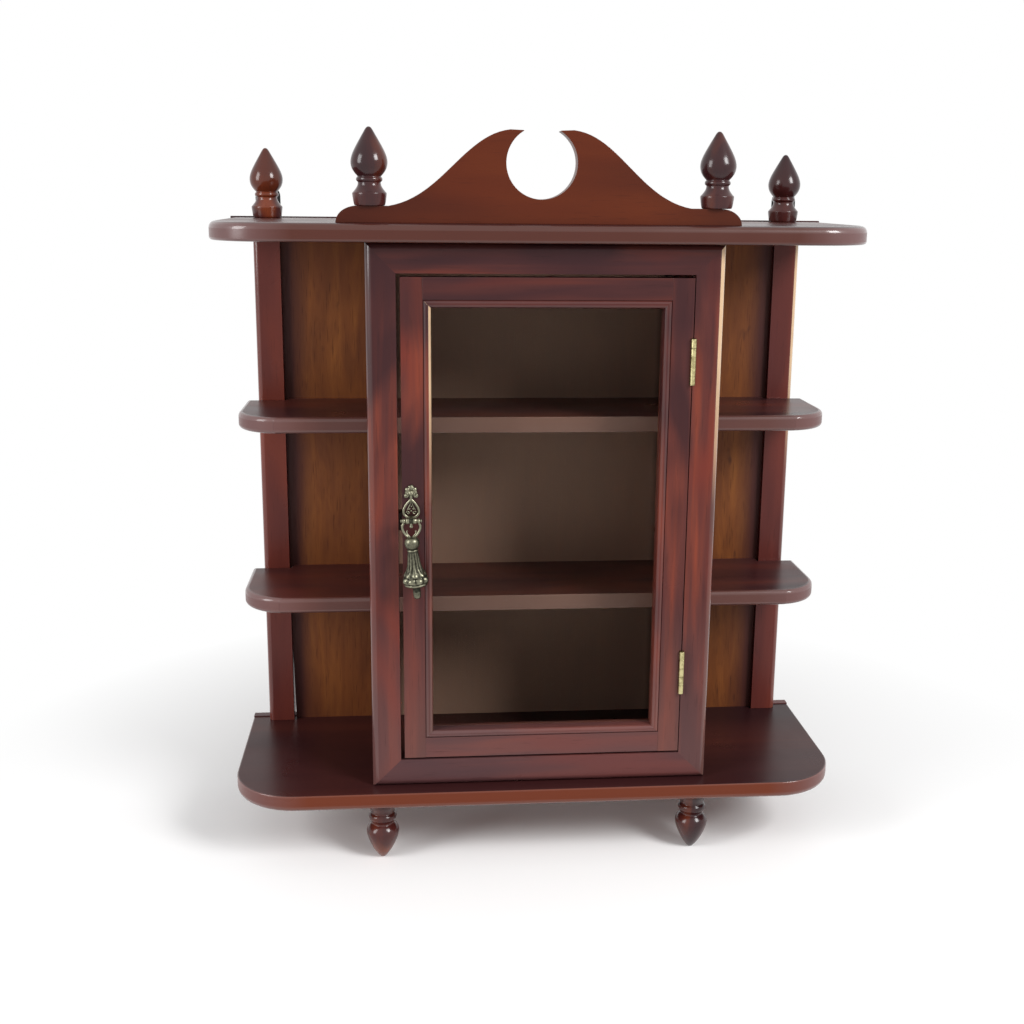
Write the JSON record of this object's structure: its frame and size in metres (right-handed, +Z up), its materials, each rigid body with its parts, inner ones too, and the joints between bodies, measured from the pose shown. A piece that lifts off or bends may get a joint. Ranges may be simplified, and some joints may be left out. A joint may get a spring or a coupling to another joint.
{
  "type": "display case",
  "caption": "Wall or tabletop curio cabinet with a hinged glass door, open rounded side shelves, a pierced pediment, turned finials and pendants, and a tassel pull.",
  "frame": {"origin": "middle of the bounding box in plan, on the ground plane that the pendant tips stand on", "axes": "+X to the viewer's right when facing the door, +Y to the back of the cabinet and the wall, +Z up"},
  "size_m": [0.54, 0.1902, 0.625],
  "materials": {
    "mahogany": "red-brown stain under satin lacquer",
    "plywood": "golden-brown stained veneer, vertical grain",
    "glass": "clear float glass",
    "hinge_brass": "bright brass plate",
    "antique_brass": "antiqued cast brass",
    "black_steel": "black paint",
    "steel": "zinc plate",
    "catch_plastic": "brown moulded plastic"
  },
  "bodies": {
    "cabinet": {"top_board": "mahogany", "bottom_board": "mahogany", "top_back_strip": "mahogany", "bottom_back_strip": "mahogany", "back_panel": "plywood", "post_left": "mahogany", "post_right": "mahogany", "case_side_left": "mahogany", "case_side_right": "mahogany", "face_stile_left": "mahogany", "face_stile_right": "mahogany", "face_rail_top": "mahogany", "face_rail_bottom": "mahogany", "inner_shelf_upper": "mahogany", "inner_shelf_lower": "mahogany", "side_shelf_upper_left": "mahogany", "side_shelf_upper_right": "mahogany", "side_shelf_lower_left": "mahogany", "side_shelf_lower_right": "mahogany", "pediment": "mahogany", "finial_inner_left": "mahogany", "finial_inner_right": "mahogany", "finial_outer_left": "mahogany", "finial_outer_right": "mahogany", "pendant_front_left": "mahogany", "pendant_front_right": "mahogany", "pendant_rear_left": "mahogany", "pendant_rear_right": "mahogany", "hanger_plate_left": "black_steel", "hanger_plate_right": "black_steel", "hanger_screws": "steel", "hinge_upper_frame_leaf": "hinge_brass", "hinge_upper_pin": "hinge_brass", "hinge_lower_frame_leaf": "hinge_brass", "hinge_lower_pin": "hinge_brass", "hinge_screws_frame": "hinge_brass", "catch_magnet": "catch_plastic"},
    "door": {"door_stile_left": "mahogany", "door_stile_right": "mahogany", "door_rail_top": "mahogany", "door_rail_bottom": "mahogany", "bead_left": "mahogany", "bead_right": "mahogany", "bead_top": "mahogany", "bead_bottom": "mahogany", "stop_left": "mahogany", "stop_right": "mahogany", "stop_top": "mahogany", "stop_bottom": "mahogany", "glass_pane": "glass", "hinge_upper_door_leaf": "hinge_brass", "hinge_lower_door_leaf": "hinge_brass", "hinge_screws_door": "hinge_brass", "pull_back_plate": "antique_brass", "pull_pin": "antique_brass", "pull_screw": "antique_brass", "catch_strike": "steel"},
    "tassel": {"pull_tassel": "antique_brass"}
  },
  "joints": [
    {"name": "door_hinge", "type": "hinge", "parent": "cabinet", "child": "door", "pos_m": [0.1207, -0.0721, 0.305], "axis": [0, 0, 1], "range_deg": [0, 175]},
    {"name": "tassel_swing", "type": "hinge", "parent": "door", "child": "tassel", "pos_m": [-0.1104, -0.0839, 0.3135], "axis": [-1, 0, 0], "range_deg": [-1.5, 80]}
  ]
}
